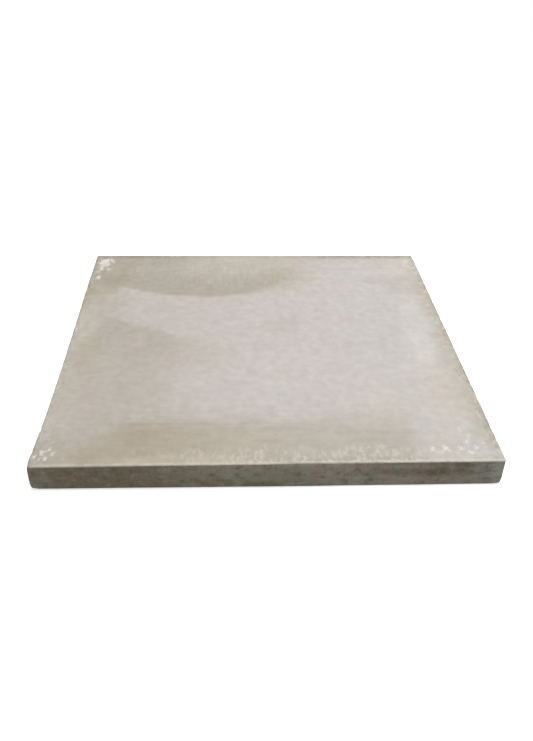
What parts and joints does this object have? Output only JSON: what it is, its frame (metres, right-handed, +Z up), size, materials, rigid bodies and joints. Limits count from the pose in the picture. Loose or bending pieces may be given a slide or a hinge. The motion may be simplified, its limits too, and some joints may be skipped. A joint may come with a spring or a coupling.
{
  "type": "concrete paving slab",
  "caption": "Square flat concrete paving slab with rounded upright corners and softened arrises, laid on its bed face to pave paths and patios.",
  "frame": {"origin": "centre of the bed face, the face that the slab lies on", "axes": "+Z up through the thickness to the walking face, +X and +Y along the two equal sides, with the pictured front edge facing -Y"},
  "size_m": [0.6, 0.6, 0.04],
  "materials": {
    "concrete": "matte"
  },
  "bodies": {
    "root": {"paving_slab": "concrete"}
  },
  "joints": []
}
